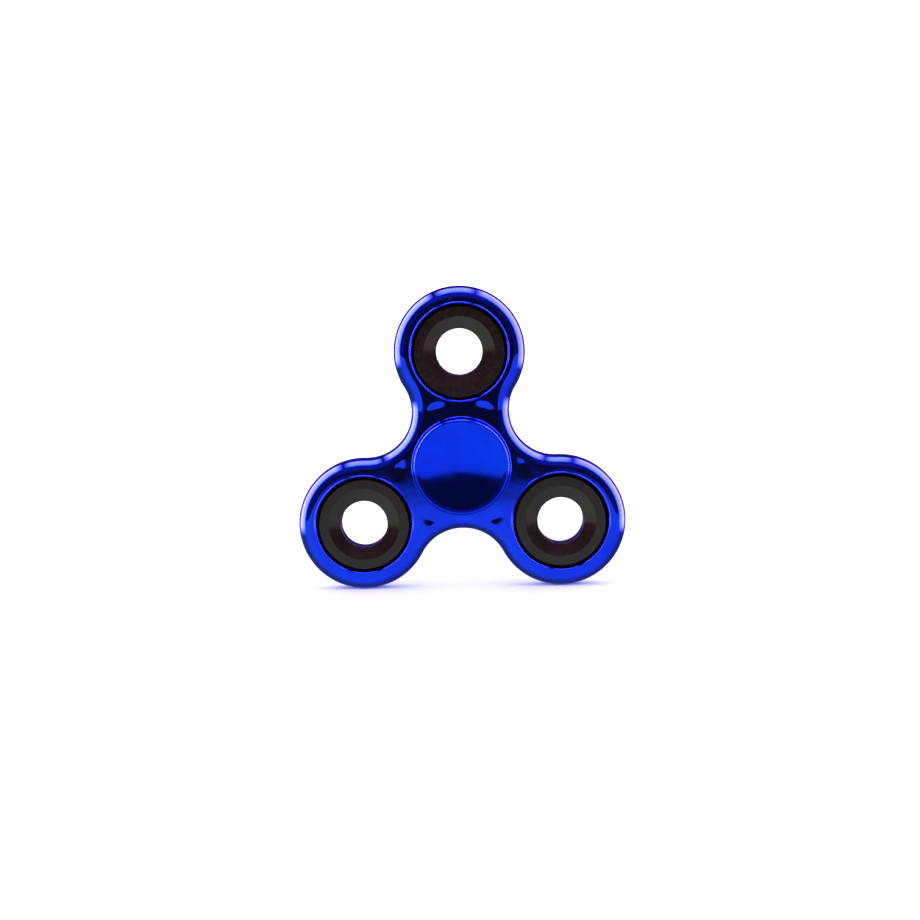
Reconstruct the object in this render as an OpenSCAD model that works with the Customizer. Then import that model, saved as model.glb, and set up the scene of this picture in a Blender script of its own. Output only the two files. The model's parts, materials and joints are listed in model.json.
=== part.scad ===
// Three-lobed fidget spinner: a plated body turns on a deep-groove ball bearing between two finger caps.
//
// Every piece is drawn lying flat, with the spin axis along Z and the front face up. stand() then raises
// it onto two lobes: the spin axis runs along Y, the front faces -Y and the third lobe points to +Z.
// The origin is the bearing's centre.

/* [Body] */
// Wall between the bearing hole and each weight hole
bridge_wall = 4; // [3:0.1:8]
// Rim of a lobe around its weight hole
lobe_wall = 4; // [3.4:0.1:8]
// Rim between the bearing hole and the edge of a bay between two lobes
waist_wall = 3.5; // [3.4:0.1:5]
// Thickness of the body
body_t = 8; // [6.6:0.1:12]
// Radius of the rounded outer edges
edge_r = 3; // [1:0.1:3.1]
// Radius of the small round at the mouth of each hole
lip_r = 0.3; // [0.1:0.05:0.4]
// Step by which a lobe's round stands proud of the bay's round that it runs into
blend_step = 0.02; // [0.01:0.01:0.05]

/* [Weights] */
// Outer diameter of a weight ring
weight_d = 22; // [18:0.1:28]
// Thickness of a weight ring
weight_t = 7; // [5:0.1:10]
// Diameter of the hole through a weight ring
weight_hole_d = 10.6; // [6:0.1:13]
// Diameter of a ring's conical dish where it meets the flat face
weight_dish_d = 16.2; // [14:0.1:17]
// Depth of the conical dish in each face
weight_dish_depth = 1.1; // [0.5:0.1:2.2]
// Width of the bevel round a ring's outer edge, seen from the front
weight_bevel_w = 0.8; // [0.3:0.1:1.2]
// Drop of the bevel from a ring's face
weight_bevel_t = 1.4; // [0.4:0.1:2]

/* [Bearing] */
// Outer diameter of the bearing
bearing_d = 22; // [20:0.1:28]
// Bore of the bearing
bearing_bore = 8; // [6:0.1:9.6]
// Width of the bearing
bearing_w = 7; // [6.6:0.1:10]
// Radius of the rounded edges of its rings
ring_edge_r = 0.3; // [0.1:0.05:0.4]
// Diameter of a ball
ball_d = 3.969; // [3.2:0.001:4.3]
// Number of balls
ball_count = 7; // [5:1:8]
// Groove radius as a multiple of the ball's diameter
groove_ratio = 0.52; // [0.515:0.005:0.54]
// Radial gap between a ball and each groove
race_play = 0.01; // [0.005:0.005:0.05]
// Height of the shoulders beside the grooves
shoulder_h = 0.53; // [0.3:0.01:0.7]

/* [Cage] */
// Thickness of each cage strip
cage_t = 0.3; // [0.2:0.05:0.4]
// Width of each cage strip
cage_w = 1.5; // [1.1:0.1:1.8]
// Gap between a ball and its pocket
cage_play = 0.06; // [0.03:0.01:0.1]
// Diameter of a rivet's shank
rivet_d = 0.6; // [0.4:0.1:0.7]
// Diameter of a rivet's head
rivet_head_d = 1; // [0.8:0.1:1.1]
// Height of a rivet's head
rivet_head_h = 0.2; // [0.1:0.05:0.25]

/* [Shields] */
// Thickness of a shield
shield_t = 0.3; // [0.2:0.05:0.4]
// Outward step of a shield's inner half
shield_step = 0.25; // [0.1:0.05:0.4]
// Radius at which a shield steps, out from the middle of the ball race
shield_step_out = 1; // [0.5:0.1:1.2]
// Gap between a shield and the inner ring
shield_play = 0.2; // [0.1:0.05:0.4]
// Width of the ledge that a shield sits on
seat_ledge = 0.65; // [0.4:0.05:0.7]
// Depth of the snap ring's groove
snap_groove = 0.25; // [0.1:0.05:0.25]
// Thickness of a snap ring
snap_t = 0.35; // [0.25:0.05:0.5]
// Width of a snap ring, measured outwards
snap_w = 0.6; // [0.4:0.05:0.8]
// Angle that a snap ring leaves open
snap_gap = 30; // [15:5:60]
// Radial gap around a shield and around a snap ring
seat_play = 0.05; // [0.02:0.01:0.1]
// Land between a snap ring's groove and the bearing's face
face_land = 0.25; // [0.15:0.05:0.3]

/* [Caps] */
// Diameter of a finger cap
cap_d = 21.8; // [18:0.1:26]
// Thickness of a finger cap at its rim
cap_t = 2; // [1.7:0.1:4]
// Depth of the finger dish
cap_dish_depth = 0.7; // [0.3:0.1:1.2]
// Width of the flat rim around the dish
cap_rim_w = 0.5; // [0.2:0.1:1.5]
// Radius of a cap's outer edges
cap_edge_r = 0.6; // [0.3:0.1:0.8]
// Gap between a cap and the face that turns under it
cap_gap = 0.4; // [0.2:0.1:1]
// Reach of a cap's boss over the inner ring, past the bore
boss_land = 1.5; // [0.8:0.1:1.8]
// Gap between the ends of the two stubs inside the bore
stub_gap = 0.4; // [0.2:0.1:1]
// Chamfer on a stub's end
stub_chamfer = 0.3; // [0.1:0.05:0.5]
// Wall of a stub around its core hole
stub_wall = 2.2; // [1:0.1:2.5]
// Depth of the core hole, from the stub's end
core_depth = 3.8; // [1:0.1:3.8]

/* [Hidden] */
$fn = 96;
CUT = 1;     // how far a cutter runs past what it cuts
DISH_FN = 720;
FIRST_LOBE = 90;
LOBES = 3;
BALLS = [for (i = [1:ball_count]) str("ball_", i)];

// Plan of the body: each bay between two lobes is a round that meets both lobes' own rounds.
lobe_ray = [for (i = [0:LOBES - 1]) FIRST_LOBE + i * 360 / LOBES];
half_step = 180 / LOBES;
arm_l = bearing_d / 2 + bridge_wall + weight_d / 2;
lobe_r = weight_d / 2 + lobe_wall;
blend_r = lobe_r - blend_step;
waist_r = bearing_d / 2 + waist_wall;
bay_r = (arm_l ^ 2 + waist_r ^ 2 - 2 * arm_l * waist_r * cos(half_step) - blend_r ^ 2)
    / (2 * (blend_r + arm_l * cos(half_step) - waist_r));
bay_l = waist_r + bay_r;

// Bearing: radii from the race outwards and inwards
ball_r = ball_d / 2;
pitch_r = (bearing_d + bearing_bore) / 4;
groove_r = groove_ratio * ball_d;
inner_groove_l = pitch_r - ball_r - race_play + groove_r;
outer_groove_l = pitch_r + ball_r + race_play - groove_r;
inner_shoulder_r = pitch_r - ball_r + shoulder_h;
outer_shoulder_r = pitch_r + ball_r - shoulder_h;
seat_r = outer_shoulder_r + seat_ledge;
snap_r = seat_r + snap_groove;
pocket_r = ball_r + cage_play;
ball_step = 360 / ball_count;

// Bearing: heights above the middle, from the face inwards
face_z = bearing_w / 2;
snap_z = face_z - face_land - snap_t;
shield_z = snap_z - shield_t;

// Caps: heights above the middle
cap_z = max(body_t, bearing_w) / 2 + cap_gap;
cap_top = cap_z + cap_t;
dish_r = cap_d / 2 - cap_edge_r - cap_rim_w;
dish_ball_r = (dish_r ^ 2 + cap_dish_depth ^ 2) / (2 * cap_dish_depth);
stub_z = stub_gap / 2;

function polar(r, a) = [r * cos(a), r * sin(a)];

module stand() rotate([90, 0, 0]) children();

module back() mirror([0, 0, 1]) children();

module at_balls(turn = 0) {
    for (i = [0:ball_count - 1])
        rotate(FIRST_LOBE + i * ball_step + turn) translate([pitch_r, 0, 0]) children();
}

// Section from x0 to x1, centred on the middle plane, with its corners rounded by e0 at x0 and by e1 at x1
module bar(x0, x1, t, e0, e1) {
    translate([x0 + e0, -t / 2]) square([x1 - x0 - e0 - e1, t]);
    for (end = [[x0, e0, 1], [x1, e1, -1]]) {
        e = end[1];
        if (e > 0) {
            translate([end[2] > 0 ? x0 : x1 - e, e - t / 2]) square([e, t - 2 * e]);
            for (side = [-1, 1])
                translate([end[0] + end[2] * e, side * (t / 2 - e)]) circle(e);
        }
    }
}

// Cutter for a round opening of radius r through a plate of thickness t, with an edge rounded by e
module round_cutter(r, t, e) {
    rotate_extrude() difference() {
        translate([0, -t / 2 - CUT]) square([r + e, t + 2 * CUT]);
        bar(r, r + e + CUT, t, e, 0);
    }
}

// Prism between the centres of the lobes and of the bays. Its sides are where lobe and bay rounds meet.
module core(t) {
    linear_extrude(t, center = true)
        polygon([for (ray = lobe_ray) each [polar(arm_l, ray), polar(bay_l, ray + half_step)]]);
}

module spinner_body() {
    color("mediumblue") stand() difference() {
        union() {
            difference() {
                core(body_t);
                for (ray = lobe_ray)
                    translate(polar(bay_l, ray + half_step)) round_cutter(bay_r, body_t, edge_r);
            }
            difference() {
                for (ray = lobe_ray)
                    translate(polar(arm_l, ray)) rotate_extrude() bar(0, lobe_r, body_t, 0, edge_r);
                core(body_t + 2 * CUT);
            }
        }
        round_cutter(bearing_d / 2, body_t, lip_r);
        for (ray = lobe_ray) translate(polar(arm_l, ray)) round_cutter(weight_d / 2, body_t, lip_r);
    }
}

// Weight ring of lobe i, with a steep bevel and a conical dish on each side
module weight(i) {
    outer_r = weight_d / 2;
    face_r = outer_r - weight_bevel_w;
    edge_z = weight_t / 2 - weight_bevel_t;
    dish_z = weight_t / 2 - weight_dish_depth;
    hole_r = weight_hole_d / 2;
    half = [[outer_r, edge_z], [face_r, weight_t / 2], [weight_dish_d / 2, weight_t / 2], [hole_r, dish_z]];
    color([0.1, 0.09, 0.09]) stand() translate(polar(arm_l, lobe_ray[i])) rotate_extrude()
        polygon(concat(half, [for (k = [3:-1:0]) [half[k][0], -half[k][1]]]));
}

// Finger cap: a dished head, a boss on the inner ring, and a cored stub pressed into the bore
module cap() {
    stub_r = bearing_bore / 2;
    color("blue") rotate_extrude() difference() {
        union() {
            translate([0, cap_z + cap_t / 2]) bar(0, cap_d / 2, cap_t, 0, cap_edge_r);
            translate([0, face_z]) square([stub_r + boss_land, cap_z + cap_t / 2 - face_z]);
            translate([0, stub_z + stub_chamfer]) square([stub_r, face_z - stub_z]);
            polygon([
                [0, stub_z],
                [stub_r - stub_chamfer, stub_z],
                [stub_r, stub_z + stub_chamfer],
                [0, stub_z + stub_chamfer]
            ]);
        }
        translate([0, cap_top - cap_dish_depth + dish_ball_r]) circle(dish_ball_r, $fn = DISH_FN);
        translate([0, stub_z - CUT]) square([stub_r - stub_wall, core_depth + CUT]);
    }
}

module bearing_outer_ring() {
    color("silver") stand() rotate_extrude() difference() {
        bar(outer_shoulder_r, bearing_d / 2, bearing_w, 0, ring_edge_r);
        translate([outer_groove_l, 0]) circle(groove_r);
        for (side = [0, 1]) mirror([0, side]) {
            translate([0, shield_z]) square([seat_r, face_z - shield_z + CUT]);
            translate([0, snap_z]) square([snap_r, snap_t]);
        }
    }
}

module bearing_inner_ring() {
    color("silver") stand() rotate_extrude() difference() {
        bar(bearing_bore / 2, inner_shoulder_r, bearing_w, ring_edge_r, ring_edge_r);
        translate([inner_groove_l, 0]) circle(groove_r);
    }
}

module ball(i) {
    color("gainsboro") stand()
        rotate(FIRST_LOBE + i * ball_step) translate([pitch_r, 0, 0]) sphere(ball_r);
}

// Front half of the pressed cage: a flat strip that rises over each ball
module cage() {
    shell_r = pocket_r + cage_t;
    color("darkgoldenrod") difference() {
        intersection() {
            union() {
                rotate_extrude() translate([pitch_r - cage_w, 0]) square([2 * cage_w, cage_t]);
                at_balls() sphere(shell_r);
            }
            rotate_extrude() translate([pitch_r - cage_w / 2, 0]) square([cage_w, shell_r + CUT]);
        }
        at_balls() sphere(pocket_r);
        at_balls(ball_step / 2) cylinder(h = 4 * cage_t, r = rivet_d / 2, center = true);
    }
}

// Rivets that join the two halves of the cage, one between each two balls
module cage_rivets() {
    head_r = rivet_head_d / 2;
    head_ball_r = (head_r ^ 2 + rivet_head_h ^ 2) / (2 * rivet_head_h);
    color("silver") stand() at_balls(ball_step / 2) rotate_extrude() {
        translate([0, -cage_t]) square([rivet_d / 2, 2 * cage_t]);
        for (side = [0, 1]) mirror([0, side]) intersection() {
            translate([0, cage_t + rivet_head_h - head_ball_r]) circle(head_ball_r);
            translate([0, cage_t]) square([head_r, rivet_head_h]);
        }
    }
}

module shield() {
    inside = inner_shoulder_r + shield_play;
    outside = seat_r - seat_play;
    ramp = pitch_r + shield_step_out;
    color("lightgray") rotate_extrude() translate([0, shield_z]) polygon([
        [inside, shield_step],
        [ramp - shield_step, shield_step],
        [ramp, 0],
        [outside, 0],
        [outside, shield_t],
        [ramp, shield_t],
        [ramp - shield_step, shield_step + shield_t],
        [inside, shield_step + shield_t]
    ]);
}

module snap_ring() {
    color("gray") rotate_extrude(angle = 360 - snap_gap, start = 270 + snap_gap / 2)
        translate([snap_r - seat_play - snap_w, snap_z]) square([snap_w, snap_t]);
}

module cap_front() stand() cap();
module cap_back() stand() back() cap();
module cage_front() stand() cage();
module cage_back() stand() back() cage();
module shield_front() stand() shield();
module shield_back() stand() back() shield();
module snap_ring_front() stand() snap_ring();
module snap_ring_back() stand() back() snap_ring();

spinner_body();
weight(0);  // weight_top
weight(1);  // weight_left
weight(2);  // weight_right
cap_front();
cap_back();
bearing_outer_ring();
bearing_inner_ring();
cage_front();
cage_back();
cage_rivets();
shield_front();
shield_back();
snap_ring_front();
snap_ring_back();
for (i = [0:ball_count - 1])
    ball(i);
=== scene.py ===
import json
import math

import bpy
from mathutils import Matrix, Vector, geometry


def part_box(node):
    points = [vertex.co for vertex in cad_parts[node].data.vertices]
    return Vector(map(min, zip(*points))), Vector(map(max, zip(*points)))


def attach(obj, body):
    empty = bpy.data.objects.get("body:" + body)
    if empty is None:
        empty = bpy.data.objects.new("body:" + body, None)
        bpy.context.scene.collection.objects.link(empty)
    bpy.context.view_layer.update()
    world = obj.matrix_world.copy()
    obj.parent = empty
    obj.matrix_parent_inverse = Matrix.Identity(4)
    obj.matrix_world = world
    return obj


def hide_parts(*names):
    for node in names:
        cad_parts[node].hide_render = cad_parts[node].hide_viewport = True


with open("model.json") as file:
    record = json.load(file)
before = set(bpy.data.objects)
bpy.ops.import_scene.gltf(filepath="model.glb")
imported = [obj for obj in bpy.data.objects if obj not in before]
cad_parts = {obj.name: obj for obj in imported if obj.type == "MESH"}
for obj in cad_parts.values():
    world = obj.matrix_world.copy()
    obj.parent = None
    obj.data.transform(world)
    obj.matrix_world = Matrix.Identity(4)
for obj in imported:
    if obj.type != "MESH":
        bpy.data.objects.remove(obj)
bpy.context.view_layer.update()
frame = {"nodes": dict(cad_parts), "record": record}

MM = 0.001
TAU = 2 * math.pi

# ---------------------------------------------------------------- sizes, from the frame where it holds them
MOUNTS = {m["name"]: m for m in frame["record"]["mounts"]}
BODY_LO, BODY_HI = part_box("spinner_body")
CAP_LO, CAP_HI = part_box("cap_front")
BEARING_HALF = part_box("bearing_inner_ring")[1].y
RING_LO, RING_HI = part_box("weight_top")
LOBE_CENTRES = [Vector(MOUNTS["ring_hole_" + n]["pos_m"]).xz for n in ("top", "left", "right")]
ARM = LOBE_CENTRES[0].length
HALF_STEP = TAU / 6
LOBE_RAYS = [TAU / 4 + 2 * HALF_STEP * k for k in range(3)]
LOBE_R = BODY_HI.z - ARM
BODY_HALF = BODY_HI.y
HOLE_R = (RING_HI.x - RING_LO.x) / 2
RING_HALF = RING_HI.y
RING_BORE_R = MOUNTS["ring_hole_top"]["dims"]["r_mm"] * MM
RING_LAND_HALF = MOUNTS["ring_hole_top"]["dims"]["length_mm"] * MM / 2
CAP_R = CAP_HI.x
CAP_TOP = -CAP_LO.y
HOLE_CENTRES = [Vector((0, 0))] + LOBE_CENTRES
WAIST_R = 14.5 * MM  # from the spin axis to the nearest point of a bay's edge
EDGE_R = 3 * MM
FLOOR_Z = BODY_LO.z

# The bead round each hole of the body, and the angle at which it rises from the face
LIP_R = 0.2 * MM
BEAD_FOOT = math.radians(50)
LIP_REACH = LIP_R * (1 + math.sin(BEAD_FOOT))

# Round of a bay that runs into the rounds of the two lobes beside it
BAY_R = (ARM**2 + WAIST_R**2 - 2 * ARM * WAIST_R * math.cos(HALF_STEP) - LOBE_R**2) / (
    2 * (LOBE_R + ARM * math.cos(HALF_STEP) - WAIST_R)
)
BAY_L = WAIST_R + BAY_R


def polar(r, a):
    return Vector((r * math.cos(a), r * math.sin(a)))


# ---------------------------------------------------------------- meshes
TURN_STEPS = 192
FILLET_STEP = math.radians(9)
ON_AXIS = 1e-9


def make_mesh(name, points, faces, normals):
    """A smooth mesh with a normal of its own at every point, so that reflections run true."""
    facing = []
    for face in faces:
        a, b, c = (Vector(points[v]) for v in face[:3])
        lean = sum((Vector(normals[v]) for v in face), Vector())
        facing.append(face if (b - a).cross(c - a).dot(lean) > 0 else face[::-1])
    mesh = bpy.data.meshes.new(name)
    mesh.from_pydata([tuple(p) for p in points], [], facing)
    mesh.polygons.foreach_set("use_smooth", [True] * len(mesh.polygons))
    mesh.normals_split_custom_set_from_vertices([tuple(n) for n in normals])
    obj = bpy.data.objects.new(name, mesh)
    bpy.context.scene.collection.objects.link(obj)
    return obj


def arc(centre, r, start, end, steps):
    """Points and outward normals of an arc in the plane of radius and height."""
    out = []
    for i in range(steps + 1):
        n = polar(1, start + (end - start) * i / steps)
        out.append((Vector(centre) + r * n, n))
    return out


def rounded_path(corners, closed=True):
    """Points and normals along straight lines whose corners (r, h, fillet) are rounded.

    The path keeps its solid side on the left, so a normal points to the right of the way it runs."""
    pts = [Vector(c[:2]) for c in corners]
    out = []
    count = len(pts)
    for i, (p, corner) in enumerate(zip(pts, corners)):
        if not closed and i in (0, count - 1):
            d = (pts[1] - p) if i == 0 else (p - pts[-2])
            d.normalize()
            out.append((p, Vector((d.y, -d.x))))
            continue
        d0 = (p - pts[i - 1]).normalized()
        d1 = (pts[(i + 1) % count] - p).normalized()
        turn = math.atan2(d0.x * d1.y - d0.y * d1.x, d0.dot(d1))
        reach = corner[2] * math.tan(abs(turn) / 2)
        n0 = Vector((d0.y, -d0.x))
        side = 1 if turn > 0 else -1
        centre = p - d0 * reach - n0 * corner[2] * side
        steps = max(2, math.ceil(abs(turn) / FILLET_STEP))
        for k in range(steps + 1):
            n = Matrix.Rotation(turn * k / steps, 2) @ n0
            out.append((centre + n * corner[2] * side, n))
    return out


def lathe(name, path, closed=True):
    """Turns a path of ((radius, height), normal) round the Y axis. Height goes towards the front, -Y."""
    points, normals, rows = [], [], []
    for p, n in path:
        if p.x < ON_AXIS:
            rows.append([len(points)])
            points.append((0, -p.y, 0))
            normals.append((0, -n.y, 0))
            continue
        rows.append([len(points) + k for k in range(TURN_STEPS)])
        for k in range(TURN_STEPS):
            u = polar(1, TAU * k / TURN_STEPS)
            points.append((p.x * u.x, -p.y, p.x * u.y))
            normals.append((n.x * u.x, -n.y, n.x * u.y))
    faces = []
    pairs = list(zip(rows, rows[1:])) + ([(rows[-1], rows[0])] if closed else [])
    for a, b in pairs:
        for k in range(TURN_STEPS):
            j = (k + 1) % TURN_STEPS
            ring = [a[k % len(a)], a[j % len(a)], b[j % len(b)], b[k % len(b)]]
            face = [v for i, v in enumerate(ring) if v not in ring[:i]]
            if len(face) > 2:
                faces.append(face)
    return make_mesh(name, points, faces, normals)


# ---------------------------------------------------------------- body
LOBE_STEPS = 132
BAY_STEPS = 66
EDGE_STEPS = 18
SIDE_STEPS = 4
LIP_STEPS = 14
GRID = 0.45 * MM  # between the points inside a face
GRID_MARGIN = 0.24 * MM  # kept clear beside an edge, so that no triangle there is too thin
CHORD_SLACK = 0.999  # a triangle beside a bay's round reaches a hair past it
MERGE_GAP = 1e-9

# Shallow sinks in the moulded faces, beside the bearing hole: direction in degrees and depth in millimetres
SINK_L = 14.2 * MM
SINK_ALONG = 1.1 * MM
SINK_ACROSS = 0.65 * MM
SINKS = ((2, 0.11), (67, 0.17), (113, 0.17), (180, 0.12), (240, 0.040), (302, 0.030))


def outline():
    """Points of the body's outline with their outward normals, as ((x, z), (x, z))."""
    bay_half = math.atan2(ARM * math.sin(HALF_STEP), BAY_L - ARM * math.cos(HALF_STEP))
    lobe_half = HALF_STEP + bay_half
    out = []
    for ray in LOBE_RAYS:
        centre = polar(ARM, ray)
        for k in range(LOBE_STEPS):
            n = polar(1, ray - lobe_half + 2 * lobe_half * k / LOBE_STEPS)
            out.append((centre + LOBE_R * n, n))
        bay_ray = ray + HALF_STEP
        centre = polar(BAY_L, bay_ray)
        for k in range(BAY_STEPS):
            u = polar(1, bay_ray + math.pi + bay_half - 2 * bay_half * k / BAY_STEPS)
            out.append((centre + BAY_R * u, -u))
    return out


def sink(p):
    """Depth and slope of the sink marks at a point of a face."""
    depth, slope = 0, Vector((0, 0))
    for degrees, deepest in SINKS:
        u = polar(1, math.radians(degrees))
        v = Vector((-u.y, u.x))
        d = p - SINK_L * u
        across, along = d.dot(u) / SINK_ACROSS, d.dot(v) / SINK_ALONG
        dip = deepest * MM * math.exp(-(across**2 + along**2) / 2)
        depth += dip
        slope -= dip * (u * across / SINK_ACROSS + v * along / SINK_ALONG)
    return depth, slope


def face_grid(edge_loop, hole_loops):
    """Triangles that fill a face between its outline and its holes, with even points inside."""
    loops = [edge_loop] + hole_loops
    coords, edges = [], []
    for loop in loops:
        first = len(coords)
        coords += loop
        edges += [(first + k, first + (k + 1) % len(loop)) for k in range(len(loop))]
    rim = len(coords)
    row_step = GRID * math.sqrt(3) / 2
    rows = int((BODY_HI.z - BODY_LO.z) / row_step) + 1
    columns = int((BODY_HI.x - BODY_LO.x) / GRID) + 1
    for j in range(rows):
        for i in range(columns):
            p = Vector((BODY_LO.x + (i + 0.5 * (j % 2)) * GRID, BODY_LO.z + j * row_step))
            if edge_gap(p) > EDGE_R + GRID_MARGIN and hole_gap(p) > LIP_REACH + GRID_MARGIN:
                coords.append(p)
    verts, _, faces, *_ = geometry.delaunay_2d_cdt(coords, edges, [], 0, MERGE_GAP)
    assert len(verts) == len(coords)
    keep = []
    for f in faces:
        mid = sum((verts[v] for v in f), Vector((0, 0))) / len(f)
        if edge_gap(mid) > EDGE_R * CHORD_SLACK and hole_gap(mid) > LIP_REACH:
            keep.append(list(f))
    return verts, keep, rim


def hole_gap(p):
    """How far a point of the plan lies from the nearest hole's wall; negative inside a hole."""
    return min((p - c).length for c in HOLE_CENTRES) - HOLE_R


def edge_gap(p):
    """How far a point of the plan lies inside the outline, measured square to it; negative outside."""
    if in_core(p):
        return min((p - polar(BAY_L, ray + HALF_STEP)).length for ray in LOBE_RAYS) - BAY_R
    return LOBE_R - min((p - c).length for c in LOBE_CENTRES)


def in_core(p):
    """Whether a point lies in the hexagon between the centres of the lobes and of the bays."""
    corners = []
    for ray in LOBE_RAYS:
        corners += [polar(ARM, ray), polar(BAY_L, ray + HALF_STEP)]
    for a, b in zip(corners, corners[1:] + corners[:1]):
        if (b - a).x * (p - a).y - (b - a).y * (p - a).x < 0:
            return False
    return True


def build_body():
    """One closed moulding: rounded rim, two faces with sinks, and four lipped holes."""
    points, normals, faces = [], [], []

    def add_ring(ring):
        first = len(points)
        for p, n in ring:
            points.append(p)
            normals.append(n)
        return [first + k for k in range(len(ring))]

    def bridge(a, b):
        count = len(a)
        for k in range(count):
            j = (k + 1) % count
            faces.append([a[k], a[j], b[j], b[k]])

    plan = outline()

    # Rim, from the front face over the side to the back face: inset, height and lean of the normal
    rim_rows = []
    for k in range(EDGE_STEPS + 1):
        a = math.pi / 2 * k / EDGE_STEPS
        rim_rows.append((EDGE_R * (1 - math.sin(a)), BODY_HALF - EDGE_R + EDGE_R * math.cos(a), a))
    straight = BODY_HALF - EDGE_R
    for k in range(1, SIDE_STEPS):
        rim_rows.append((0, straight * (1 - 2 * k / SIDE_STEPS), math.pi / 2))
    rim_rows += [(d, -h, math.pi - a) for d, h, a in reversed(rim_rows[: EDGE_STEPS + 1])]
    rings = []
    for inset, h, a in rim_rows:
        ring = []
        for p, n in plan:
            q = p - n * inset
            normal = (n.x * math.sin(a), -math.cos(a), n.y * math.sin(a))
            ring.append(((q.x, -h, q.y), normal))
        rings.append(add_ring(ring))
    for a, b in zip(rings, rings[1:]):
        bridge(a, b)
    outer = [rings[0], rings[-1]]

    # Holes: lip, wall, lip
    for centre in HOLE_CENTRES:
        rows = []
        crown = BODY_HALF - LIP_R * math.cos(BEAD_FOOT)
        for k in range(LIP_STEPS + 1):
            a = (math.pi / 2 + BEAD_FOOT) * k / LIP_STEPS - BEAD_FOOT
            rows.append((HOLE_R + LIP_R * (1 - math.sin(a)), crown + LIP_R * math.cos(a), a))
        rows += [(r, -h, math.pi - a) for r, h, a in reversed(rows)]
        own = []
        for r, h, a in rows:
            ring = []
            for k in range(TURN_STEPS):
                u = polar(1, -TAU * k / TURN_STEPS)
                q = centre + r * u
                normal = (-u.x * math.sin(a), -math.cos(a), -u.y * math.sin(a))
                ring.append(((q.x, -h, q.y), normal))
            own.append(add_ring(ring))
        for a, b in zip(own, own[1:]):
            bridge(a, b)

    # Faces: the triangles meet the rings above point by point
    edge_loop = [p - n * EDGE_R for p, n in plan]
    loops = [
        [centre + (HOLE_R + LIP_REACH) * polar(1, -TAU * k / TURN_STEPS) for k in range(TURN_STEPS)]
        for centre in HOLE_CENTRES
    ]
    flat, triangles, rim = face_grid(edge_loop, loops)
    for side, rim_ring in ((1, 0), (-1, 1)):
        index = list(outer[rim_ring])
        for p in flat[len(index) : rim]:
            index.append(len(points))
            points.append((p.x, -side * BODY_HALF, p.y))
            normals.append((0, -side, 0))
        for p in flat[rim:]:
            depth, slope = sink(p)
            index.append(len(points))
            points.append((p.x, -side * (BODY_HALF - depth), p.y))
            n = Vector((slope.x, -side, slope.y)).normalized()
            normals.append(n)
        faces += [[index[v] for v in t] for t in triangles]
    obj = make_mesh("plated_body", points, faces, normals)
    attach(obj, "rotor")
    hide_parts("spinner_body")
    return obj


# ---------------------------------------------------------------- weight rings
DISH_R = 8.1 * MM
FACE_R = 10.2 * MM
BEVEL_DROP = 1.4 * MM
RING_SOFT_R = 0.1 * MM


def build_weight(name, centre):
    """A turned ring: steep bevels, flat bands, conical dishes and a straight bore."""
    h = RING_HALF
    front = [
        (HOLE_R, h - BEVEL_DROP, RING_SOFT_R),
        (FACE_R, h, RING_SOFT_R),
        (DISH_R, h, RING_SOFT_R),
        (RING_BORE_R, RING_LAND_HALF, RING_SOFT_R),
    ]
    path = rounded_path(front + [(r, -y, soft) for r, y, soft in reversed(front)])
    obj = lathe(name + "_turned", path)
    obj.location = (centre.x, 0, centre.y)
    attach(obj, "rotor")
    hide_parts(name)
    return obj


# ---------------------------------------------------------------- finger caps
# Dish: a shallow ball, then a tighter sweep up to the rim
CAP_DISH_BALL_R = 70 * MM
CAP_DISH_EDGE = 9.3 * MM
CAP_SWEEP_R = 4.5 * MM
CAP_SWEEP_END = math.radians(19)
CAP_EDGE_R = 0.5 * MM
DISH_STEPS = 32
SWEEP_STEPS = 12
RIM_STEPS = 16
# Disc, boss and stub, with the fillet at each corner
CAP_T = 2 * MM
CAP_SIDE_START = 0.8 * MM  # below the top
CAP_UNDER_R = 0.4 * MM
BOSS_R = 5.5 * MM
BOSS_ROOT_R = 0.15 * MM
STUB_R = 4 * MM
STUB_ROOT_R = 0.1 * MM
STUB_END = -CAP_HI.y
STUB_END_R = 0.25 * MM
# Tilt of the front cap's disc: this fit isn't quite square
CAP_LEAN = math.tan(math.radians(1.3))
LEAN_GAP = 0.05 * MM  # how far past the boss the tilt starts


def cap_path():
    """Half section of a cap's top: shallow dish, sweep up to the rim, and the rounded rim."""
    dish_slope = math.asin(CAP_DISH_EDGE / CAP_DISH_BALL_R)
    path = []
    for k in range(DISH_STEPS + 1):
        slope = dish_slope * k / DISH_STEPS
        n = Vector((-math.sin(slope), math.cos(slope)))
        path.append((Vector((0, CAP_DISH_BALL_R)) - CAP_DISH_BALL_R * n, n))
    p, n = path[-1]
    centre = p + CAP_SWEEP_R * n
    for k in range(1, SWEEP_STEPS + 1):
        slope = dish_slope + (CAP_SWEEP_END - dish_slope) * k / SWEEP_STEPS
        n = Vector((-math.sin(slope), math.cos(slope)))
        path.append((centre - CAP_SWEEP_R * n, n))
    p, n = path[-1]
    path += arc(p - CAP_EDGE_R * n, CAP_EDGE_R, math.pi / 2 + CAP_SWEEP_END, 0, RIM_STEPS)[1:]
    shift = CAP_R - path[-1][0].x
    lift = CAP_TOP - max(p.y for p, _ in path)
    moved = []
    for p, n in path:
        share = p.x / CAP_R if p.x < CAP_DISH_EDGE else 1
        moved.append((Vector((p.x + shift * share, p.y + lift)), n))
    return moved


def lean(mesh, start, under):
    """Tips a cap's disc a little downwards, the way the press fit has left it; the boss stays square."""
    normals = [Vector(n.vector) for n in mesh.corner_normals]
    moved = [math.hypot(v.co.x, v.co.z) > start or v.co.y < -under - LEAN_GAP for v in mesh.vertices]
    for v in mesh.vertices:
        if moved[v.index]:
            v.co.y -= CAP_LEAN * v.co.z
    for loop in mesh.loops:
        if moved[loop.vertex_index]:
            normals[loop.index].z += CAP_LEAN * normals[loop.index].y
    mesh.normals_split_custom_set([tuple(n.normalized()) for n in normals])


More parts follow.
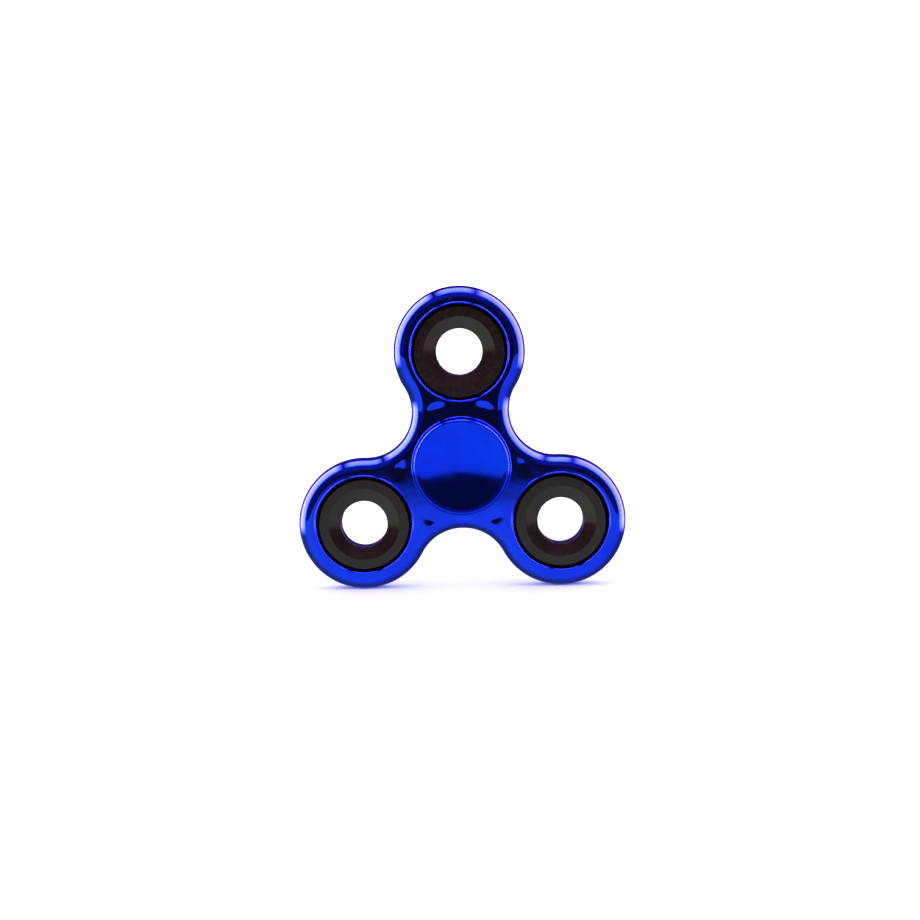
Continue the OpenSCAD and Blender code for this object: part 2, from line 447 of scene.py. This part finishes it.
def build_cap(name, side):
    """A plated cap: dish, rolled rim, side, and the boss and stub that reach into the bearing."""
    under = CAP_TOP - CAP_T
    lower = rounded_path(
        [
            (CAP_R, CAP_TOP - CAP_SIDE_START, 0),
            (CAP_R, under, CAP_UNDER_R),
            (BOSS_R, under, BOSS_ROOT_R),
            (BOSS_R, BEARING_HALF, STUB_ROOT_R),
            (STUB_R, BEARING_HALF, STUB_ROOT_R),
            (STUB_R, STUB_END, STUB_END_R),
            (0, STUB_END, 0),
        ],
        closed=False,
    )
    # rounded_path runs with its solid on the left; going down the outside, the solid is on the right
    path = cap_path() + [(p, -n) for p, n in lower]
    obj = lathe(name + "_plated", path, closed=False)
    if side < 0:
        obj.data.transform(Matrix.Rotation(math.pi, 4, "Z"))
    else:
        lean(obj.data, BOSS_R + BOSS_ROOT_R + LEAN_GAP, under)
    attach(obj, "hub")
    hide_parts(name)
    return obj


# ---------------------------------------------------------------- materials
# Part of a noise's range that a ramp spreads over
NOISE_RAMP = (0.3, 0.7)


def new_material(name):
    mat = bpy.data.materials.new(name)
    mat.use_nodes = True
    nodes = mat.node_tree.nodes
    return mat, nodes, mat.node_tree.links, nodes["Principled BSDF"]


def add_noise(nodes, links, vector, scale, detail):
    noise = nodes.new("ShaderNodeTexNoise")
    noise.inputs["Scale"].default_value = scale
    noise.inputs["Detail"].default_value = detail
    links.new(vector, noise.inputs["Vector"])
    return noise


def mottle(nodes, links, noise, shader, colours, rough, limits):
    """Lets a noise vary a shader's colour and roughness between two values each."""
    tint = nodes.new("ShaderNodeValToRGB")
    for end, place, colour in zip(tint.color_ramp.elements, NOISE_RAMP, colours):
        end.position = place
        end.color = (*colour, 1)
    links.new(noise.outputs["Fac"], tint.inputs["Fac"])
    links.new(tint.outputs["Color"], shader.inputs["Base Color"])
    spread = nodes.new("ShaderNodeMapRange")
    for key, value in zip(("From Min", "From Max", "To Min", "To Max"), (*limits, *rough)):
        spread.inputs[key].default_value = value
    links.new(noise.outputs["Fac"], spread.inputs["Value"])
    links.new(spread.outputs["Result"], shader.inputs["Roughness"])


def relief(nodes, links, noise, shader, strength, height):
    """Raises and lowers a surface a little with a noise."""
    bump = nodes.new("ShaderNodeBump")
    bump.inputs["Strength"].default_value = strength
    bump.inputs["Distance"].default_value = height
    links.new(noise.outputs["Fac"], bump.inputs["Height"])
    links.new(bump.outputs["Normal"], shader.inputs["Normal"])


def blue_plating(name, rough, lacquer):
    """Tinted chrome on moulded plastic under a clear lacquer, with faint orange peel and handling haze."""
    mat, nodes, links, shader = new_material(name)
    shader.inputs["Metallic"].default_value = 1
    shader.inputs["Coat Weight"].default_value = lacquer
    shader.inputs["Coat Roughness"].default_value = 0.03
    shader.inputs["Coat IOR"].default_value = 1.2
    coords = nodes.new("ShaderNodeTexCoord")
    haze = add_noise(nodes, links, coords.outputs["Object"], 180, 5)
    mottle(nodes, links, haze, shader, ((0.0, 0.016, 0.70), (0.0, 0.024, 0.82)), rough, (0.35, 0.75))
    peel = add_noise(nodes, links, coords.outputs["Object"], 420, 1.5)
    relief(nodes, links, peel, shader, 0.5, 0.01 * MM)
    return mat


def turned_metal(name, colours, rough, marks_per_m, groove, metallic=1.0, sheen=(1, 1, 1)):
    """Metal with the fine circles that turning or grinding leaves round the Y axis of its own object."""
    mat, nodes, links, shader = new_material(name)
    shader.inputs["Metallic"].default_value = metallic
    shader.inputs["Specular IOR Level"].default_value = 0.6
    shader.inputs["Specular Tint"].default_value = (*sheen, 1)
    coords = nodes.new("ShaderNodeTexCoord")
    split = nodes.new("ShaderNodeSeparateXYZ")
    links.new(coords.outputs["Object"], split.inputs["Vector"])
    flat = nodes.new("ShaderNodeCombineXYZ")
    links.new(split.outputs["X"], flat.inputs["X"])
    links.new(split.outputs["Z"], flat.inputs["Y"])
    radius = nodes.new("ShaderNodeVectorMath")
    radius.operation = "LENGTH"
    links.new(flat.outputs["Vector"], radius.inputs[0])
    depth = nodes.new("ShaderNodeMath")
    depth.operation = "ABSOLUTE"
    links.new(split.outputs["Y"], depth.inputs[0])
    along = nodes.new("ShaderNodeCombineXYZ")
    links.new(radius.outputs["Value"], along.inputs["X"])
    links.new(depth.outputs["Value"], along.inputs["Y"])
    marks = add_noise(nodes, links, along.outputs["Vector"], marks_per_m, 3)
    marks.noise_dimensions = "2D"
    grain = add_noise(nodes, links, coords.outputs["Object"], 900, 6)
    mottle(nodes, links, grain, shader, colours, rough, NOISE_RAMP)
    relief(nodes, links, marks, shader, 0.6, groove)
    return mat


def paint(obj, mat):
    obj.data.materials.clear()
    obj.data.materials.append(mat)


# ---------------------------------------------------------------- stage, light and camera
CAMERA_DISTANCE = 0.4
CAMERA_ELEVATION = math.radians(5)
CAMERA_ROLL = math.radians(1.1)
CAMERA_AIM = Vector((-0.0003, 0, 0.0011))
LENS_MM = 68.1
SENSOR_MM = 36
NEAREST = 0.01
TABLE_FRONT = -0.3
TABLE_BACK = 1.2
TABLE_SIDE = 0.9


def build_camera():
    """The photograph's viewpoint: a little above the spinner and rolled a degree."""
    data = bpy.data.cameras.new("camera")
    data.lens = LENS_MM
    data.sensor_width = SENSOR_MM
    data.clip_start = NEAREST
    cam = bpy.data.objects.new("camera", data)
    bpy.context.scene.collection.objects.link(cam)
    back = Vector((0, -math.cos(CAMERA_ELEVATION), math.sin(CAMERA_ELEVATION)))
    cam.location = CAMERA_AIM + CAMERA_DISTANCE * back
    look = (-back).to_track_quat("-Z", "Y").to_matrix().to_4x4()
    cam.matrix_world = Matrix.Translation(cam.location) @ look @ Matrix.Rotation(-CAMERA_ROLL, 4, "Z")
    bpy.context.scene.camera = cam


def build_table():
    """The white surface under the lobes. Reflections see the table of build_world instead."""
    mesh = bpy.data.meshes.new("table")
    corners = [
        (-TABLE_SIDE, TABLE_FRONT, FLOOR_Z),
        (TABLE_SIDE, TABLE_FRONT, FLOOR_Z),
        (TABLE_SIDE, TABLE_BACK, FLOOR_Z),
        (-TABLE_SIDE, TABLE_BACK, FLOOR_Z),
    ]
    mesh.from_pydata(corners, [], [(0, 1, 2, 3)])
    table = bpy.data.objects.new("table", mesh)
    bpy.context.scene.collection.objects.link(table)
    mat, _, _, shader = new_material("white_table")
    shader.inputs["Base Color"].default_value = (0.8, 0.8, 0.8, 1)
    shader.inputs["Roughness"].default_value = 0.9
    shader.inputs["Specular IOR Level"].default_value = 0.1
    mesh.materials.append(mat)
    table.visible_glossy = False


# White light that everything stands in
DOME = 1.7
# What mirrors see: a dark warm room in front, which gives way to a dim blue backdrop behind
ROOM_TINT = (0.21, 0.09, 0.035)
BACKDROP_TINT = (0.03, 0.03, 0.30)
BACKDROP_START = math.radians(122)
# Softboxes as patches of the sky: two angles round the spin axis, from +X towards +Z, then two angles away
# from the front, all in degrees, then tint and strength
SOFTBOXES = [
    ((-14, 69), (63, 116), (1.1, 0.55, 1.0), 20.0),
    ((119, 191), (65, 116), (1.0, 0.58, 1.0), 26.0),
    ((77, 109), (64, 108), (1.2, 0.70, 0.7), 14.0),
    ((60, 125), (22, 62), (0.8, 0.6, 1.0), 0.20),
    ((-8, 188), (18, 60), (0.5, 0.4, 1.0), 0.12),
]
SEAM = math.radians(-90)  # where the angle round the spin axis wraps, straight below
TURN_SOFT = math.radians(5)
TILT_SOFT = math.radians(9)
# White table: its tints at the left and the right and where one gives way to the other, its brink below the
# camera's height, which climbs towards the sides, and the angles from the front over which it dims, a
# painted shadow of the table under and behind the spinner, and the level it dims to
TABLE_TINTS = ((0.8, 1.60, 1.0), (0.7, 1.10, 1.0))
TABLE_SPLIT = (-0.7, 0.5)
TABLE_DROP = math.radians(-6.2)
TABLE_RISE = math.radians(2.4)
TABLE_RISE_END = math.radians(18)
TABLE_SOFT = math.radians(0.7)
TABLE_SHADOW_SPAN = (math.radians(40), math.radians(115))
TABLE_SHADOW_LEVEL = 0.10


def build_world():
    """White light all round, and for mirrors a studio: room, backdrop, softboxes and table."""
    world = bpy.data.worlds.new("studio")
    bpy.context.scene.world = world
    world.use_nodes = True
    nodes, links = world.node_tree.nodes, world.node_tree.links
    nodes.clear()

    def math_node(operation, *values):
        node = nodes.new("ShaderNodeMath")
        node.operation = operation
        for k, v in enumerate(values):
            if isinstance(v, (int, float)):
                node.inputs[k].default_value = v
            else:
                links.new(v, node.inputs[k])
        return node.outputs["Value"]

    def ramp(value, lo, hi, start, end):
        node = nodes.new("ShaderNodeMapRange")
        node.interpolation_type = "SMOOTHSTEP"
        for key, v in (("From Min", lo), ("From Max", hi), ("To Min", start), ("To Max", end)):
            node.inputs[key].default_value = v
        links.new(value, node.inputs["Value"])
        return node.outputs["Result"]

    def band(value, limits, soft):
        lo, hi = (math.radians(v) for v in limits)
        rise, fall = ramp(value, lo - soft, lo + soft, 0, 1), ramp(value, hi - soft, hi + soft, 1, 0)
        return math_node("MULTIPLY", rise, fall)

    def glow(tint, strength):
        node = nodes.new("ShaderNodeBackground")
        node.inputs["Color"].default_value = (*tint, 1)
        if isinstance(strength, (int, float)):
            node.inputs["Strength"].default_value = strength
        else:
            links.new(strength, node.inputs["Strength"])
        return node.outputs["Background"]

    coords = nodes.new("ShaderNodeTexCoord")
    split = nodes.new("ShaderNodeSeparateXYZ")
    links.new(coords.outputs["Generated"], split.inputs["Vector"])
    x, y, z = (split.outputs[k] for k in "XYZ")
    away = math_node("ARCCOSINE", math_node("MULTIPLY", y, -1.0))
    around = math_node("WRAP", math_node("ARCTAN2", z, x), SEAM + TAU, SEAM)

    start, end = BACKDROP_START - TILT_SOFT, BACKDROP_START + TILT_SOFT
    seen = [glow(ROOM_TINT, ramp(away, start, end, 1, 0))]
    seen.append(glow(BACKDROP_TINT, ramp(away, start, end, 0, 1)))
    for turn, tilt, tint, strength in SOFTBOXES:
        patch = math_node("MULTIPLY", band(around, turn, TURN_SOFT), band(away, tilt, TILT_SOFT))
        seen.append(glow(tint, math_node("MULTIPLY", patch, strength)))
    sideways = math_node("ARCTAN2", math_node("ABSOLUTE", x), math_node("MULTIPLY", y, -1.0))
    brink = math_node("ADD", ramp(sideways, 0, TABLE_RISE_END, 0, TABLE_RISE), TABLE_DROP)
    below = math_node("SUBTRACT", brink, math_node("ARCSINE", z))
    # Painted shadow: the table as mirrors see it darkens towards the back, standing in for its shade under
    # the spinner
    painted_table_shadow = ramp(away, *TABLE_SHADOW_SPAN, 1, TABLE_SHADOW_LEVEL)
    table = math_node("MULTIPLY", ramp(below, -TABLE_SOFT, TABLE_SOFT, 0, 1), painted_table_shadow)
    for tint, ends in zip(TABLE_TINTS, ((1, 0), (0, 1))):
        seen.append(glow(tint, math_node("MULTIPLY", table, ramp(x, *TABLE_SPLIT, *ends))))
    total = seen[0]
    for one in seen[1:]:
        add = nodes.new("ShaderNodeAddShader")
        links.new(total, add.inputs[0])
        links.new(one, add.inputs[1])
        total = add.outputs["Shader"]
    path = nodes.new("ShaderNodeLightPath")
    mix = nodes.new("ShaderNodeMixShader")
    first = math_node("LESS_THAN", path.outputs["Diffuse Depth"], 0.5)
    links.new(math_node("MULTIPLY", path.outputs["Is Glossy Ray"], first), mix.inputs["Fac"])
    links.new(glow((1, 1, 1), DOME), mix.inputs[1])
    links.new(total, mix.inputs[2])
    out = nodes.new("ShaderNodeOutputWorld")
    links.new(mix.outputs["Shader"], out.inputs["Surface"])


# ---------------------------------------------------------------- the scene
build_camera()
build_world()
build_table()
bpy.context.scene.view_settings.view_transform = "Standard"

plating = blue_plating("blue_plating", (0.03, 0.07), 1)
cap_plating = blue_plating("cap_plating", (0.08, 0.13), 0.45)
black = turned_metal(
    "black_coated_steel",
    ((0.002, 0.0014, 0.0014), (0.005, 0.0036, 0.0036)),
    (0.15, 0.22),
    9000,
    0.0015 * MM,
    metallic=0.0,
    sheen=(0.72, 0.50, 0.66),
)

paint(build_body(), plating)
for node, middle in zip(("weight_top", "weight_left", "weight_right"), LOBE_CENTRES):
    paint(build_weight(node, middle), black)
paint(build_cap("cap_front", 1), cap_plating)
paint(build_cap("cap_back", -1), cap_plating)

# The bearing's nodes keep their CAD meshes: two colours, two roughnesses, marks in a metre, groove depth
METALS = {
    "ground_steel": (((0.5, 0.5, 0.52), (0.68, 0.68, 0.7)), (0.14, 0.26), 14000, 0.004 * MM),
    "pressed_steel": (((0.45, 0.45, 0.46), (0.6, 0.6, 0.6)), (0.25, 0.4), 3000, 0.002 * MM),
    "spring_steel": (((0.3, 0.3, 0.32), (0.42, 0.42, 0.44)), (0.25, 0.4), 3000, 0.002 * MM),
    "polished_ball_steel": (((0.7, 0.7, 0.72), (0.82, 0.82, 0.84)), (0.04, 0.08), 2000, 0.001 * MM),
}
FINISHES = {slot: turned_metal(slot, *looks) for slot, looks in METALS.items()}
for part in frame["record"]["subparts"]:
    finish = FINISHES.get(part["material_slot"])
    if finish:
        paint(frame["nodes"][part["node"]], finish)
